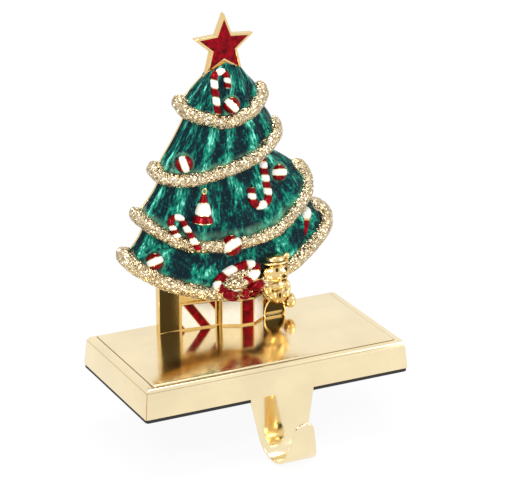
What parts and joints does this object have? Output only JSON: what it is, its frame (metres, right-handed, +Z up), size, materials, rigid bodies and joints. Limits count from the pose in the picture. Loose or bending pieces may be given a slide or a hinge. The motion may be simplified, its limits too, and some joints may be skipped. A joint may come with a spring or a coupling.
{
  "type": "mantel stocking holder",
  "caption": "Weighted mantel stocking holder: a cast, enamelled fir tree in relief stands on a pressed golden base whose front runs down into a hook.",
  "frame": {"origin": "centre of the pad's underside, the face that rests on the mantel shelf", "axes": "+X along the mantel edge, +Y back towards the wall, +Z up; the hook hangs below the origin in front"},
  "size_m": [0.14, 0.1003, 0.2025],
  "materials": {
    "pale_gold": "polished",
    "rich_gold": "polished",
    "green_enamel": "gloss",
    "red_enamel": "gloss",
    "white_enamel": "gloss",
    "pad_rubber": "matte",
    "weight_iron": "rough",
    "screw_steel": "satin"
  },
  "bodies": {
    "root": {"base_shell": "pale_gold", "base_pad": "pad_rubber", "ballast": "weight_iron", "figure_screws": "screw_steel", "figure_washers": "screw_steel", "tree_casting": "rich_gold", "star_enamel": "red_enamel", "tier_enamel_1": "green_enamel", "tier_enamel_2": "green_enamel", "tier_enamel_3": "green_enamel", "tier_enamel_4": "green_enamel", "ball_enamel_red": "red_enamel", "ball_enamel_white": "white_enamel", "cane_enamel_red": "red_enamel", "cane_enamel_white": "white_enamel", "bell_enamel_red": "red_enamel", "bell_enamel_white": "white_enamel", "drop_enamel_red": "red_enamel", "drop_enamel_white": "white_enamel", "bow_enamel": "red_enamel", "wreath_enamel_red": "red_enamel", "wreath_enamel_white": "white_enamel", "gift_enamel_red": "red_enamel", "gift_enamel_white": "white_enamel"}
  },
  "joints": []
}
